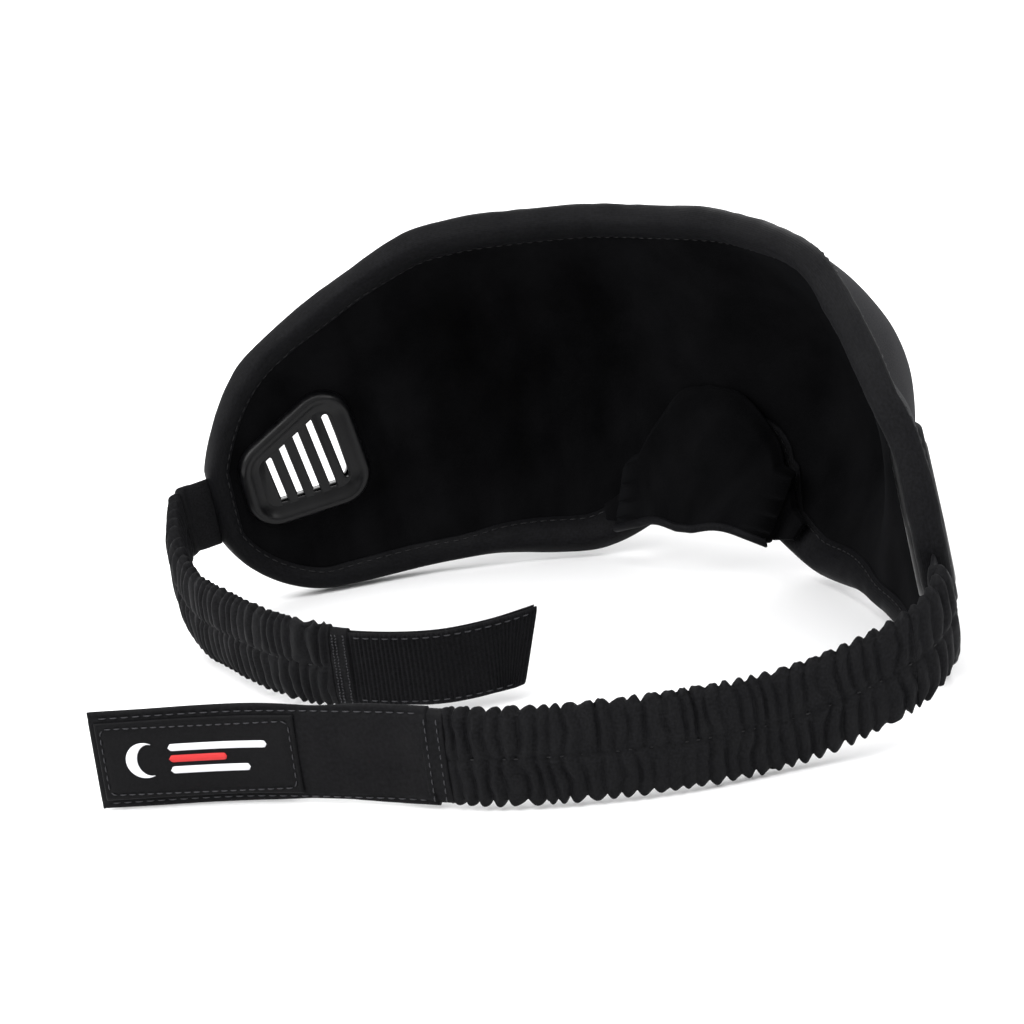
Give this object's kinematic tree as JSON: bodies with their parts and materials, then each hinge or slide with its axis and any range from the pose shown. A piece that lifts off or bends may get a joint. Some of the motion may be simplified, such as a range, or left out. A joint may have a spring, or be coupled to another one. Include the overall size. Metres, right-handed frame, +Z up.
{
  "type": "sleep eye mask",
  "caption": "contoured black sleep mask with moulded eye cups, vented temple wings, a nose baffle and a two-part gathered elastic strap with hook and loop tabs",
  "frame": {"origin": "middle of the bounding box in plan, at the surface the mask stands on", "axes": "+X towards the wearer's left, +Y from the face of the mask towards the wearer's head, +Z up"},
  "size_m": [0.2264, 0.2008, 0.0974],
  "materials": {
    "shell_knit": "fine black knit, matt",
    "foam": "dark soft closed-cell foam",
    "velvet_lining": "short black pile, very matt",
    "edge_trim": "smooth black stretch binding",
    "vent_plastic": "gloss and satin black moulding",
    "webbing": "black webbing",
    "elastic": "ribbed dark elastic",
    "ruched_sleeve": "gathered black cloth",
    "tab_fabric": "smooth topstitched black cloth",
    "fastening_tape": "black hook and loop tape",
    "patch": "woven black patch"
  },
  "bodies": {
    "mask_body": {"outer_shell": "shell_knit", "foam_core": "foam", "inner_lining": "velvet_lining", "edge_binding": "edge_trim", "front_label": "patch", "left_vent_welt": "edge_trim", "left_vent_bezel": "vent_plastic", "left_vent_ring": "vent_plastic", "right_vent_welt": "edge_trim", "right_vent_bezel": "vent_plastic", "right_vent_ring": "vent_plastic", "left_anchor_tab": "webbing", "right_anchor_tab": "webbing"},
    "nose_flap": {"nose_baffle": "velvet_lining", "baffle_hem": "edge_trim"},
    "left_strap": {"left_elastic": "elastic", "left_sleeve": "ruched_sleeve"},
    "left_end": {"left_seam": "webbing", "left_tab_backing": "tab_fabric", "left_loop_tape": "fastening_tape"},
    "right_strap": {"right_elastic": "elastic", "right_sleeve": "ruched_sleeve"},
    "right_end": {"right_seam": "webbing", "right_tab": "tab_fabric", "right_patch": "patch", "right_hook_tape": "fastening_tape"}
  },
  "joints": [
    {"name": "baffle_flex", "type": "hinge", "parent": "mask_body", "child": "nose_flap", "pos_m": [0.00151, -0.0871, 0.04331], "axis": [1, 0, 0], "range_deg": [0, 35], "stiffness_Nm_per_rad": 0.004},
    {"name": "left_strap_swing", "type": "hinge", "parent": "mask_body", "child": "left_strap", "pos_m": [0.10951, -0.00831, 0.02707], "axis": [0, 0, -1], "range_deg": [-20, 15]},
    {"name": "left_strap_stretch", "type": "slide", "parent": "left_strap", "child": "left_end", "axis": [-0.9975, -0.07, 0], "range_m": [0, 0.025], "stiffness_N_per_m": 60},
    {"name": "right_strap_swing", "type": "hinge", "parent": "mask_body", "child": "right_strap", "pos_m": [-0.1065, -0.00831, 0.02707], "axis": [0, 0, 1], "range_deg": [-12, 25]},
    {"name": "right_strap_stretch", "type": "slide", "parent": "right_strap", "child": "right_end", "axis": [0.968, 0.251, 0], "range_m": [0, 0.035], "stiffness_N_per_m": 60}
  ]
}
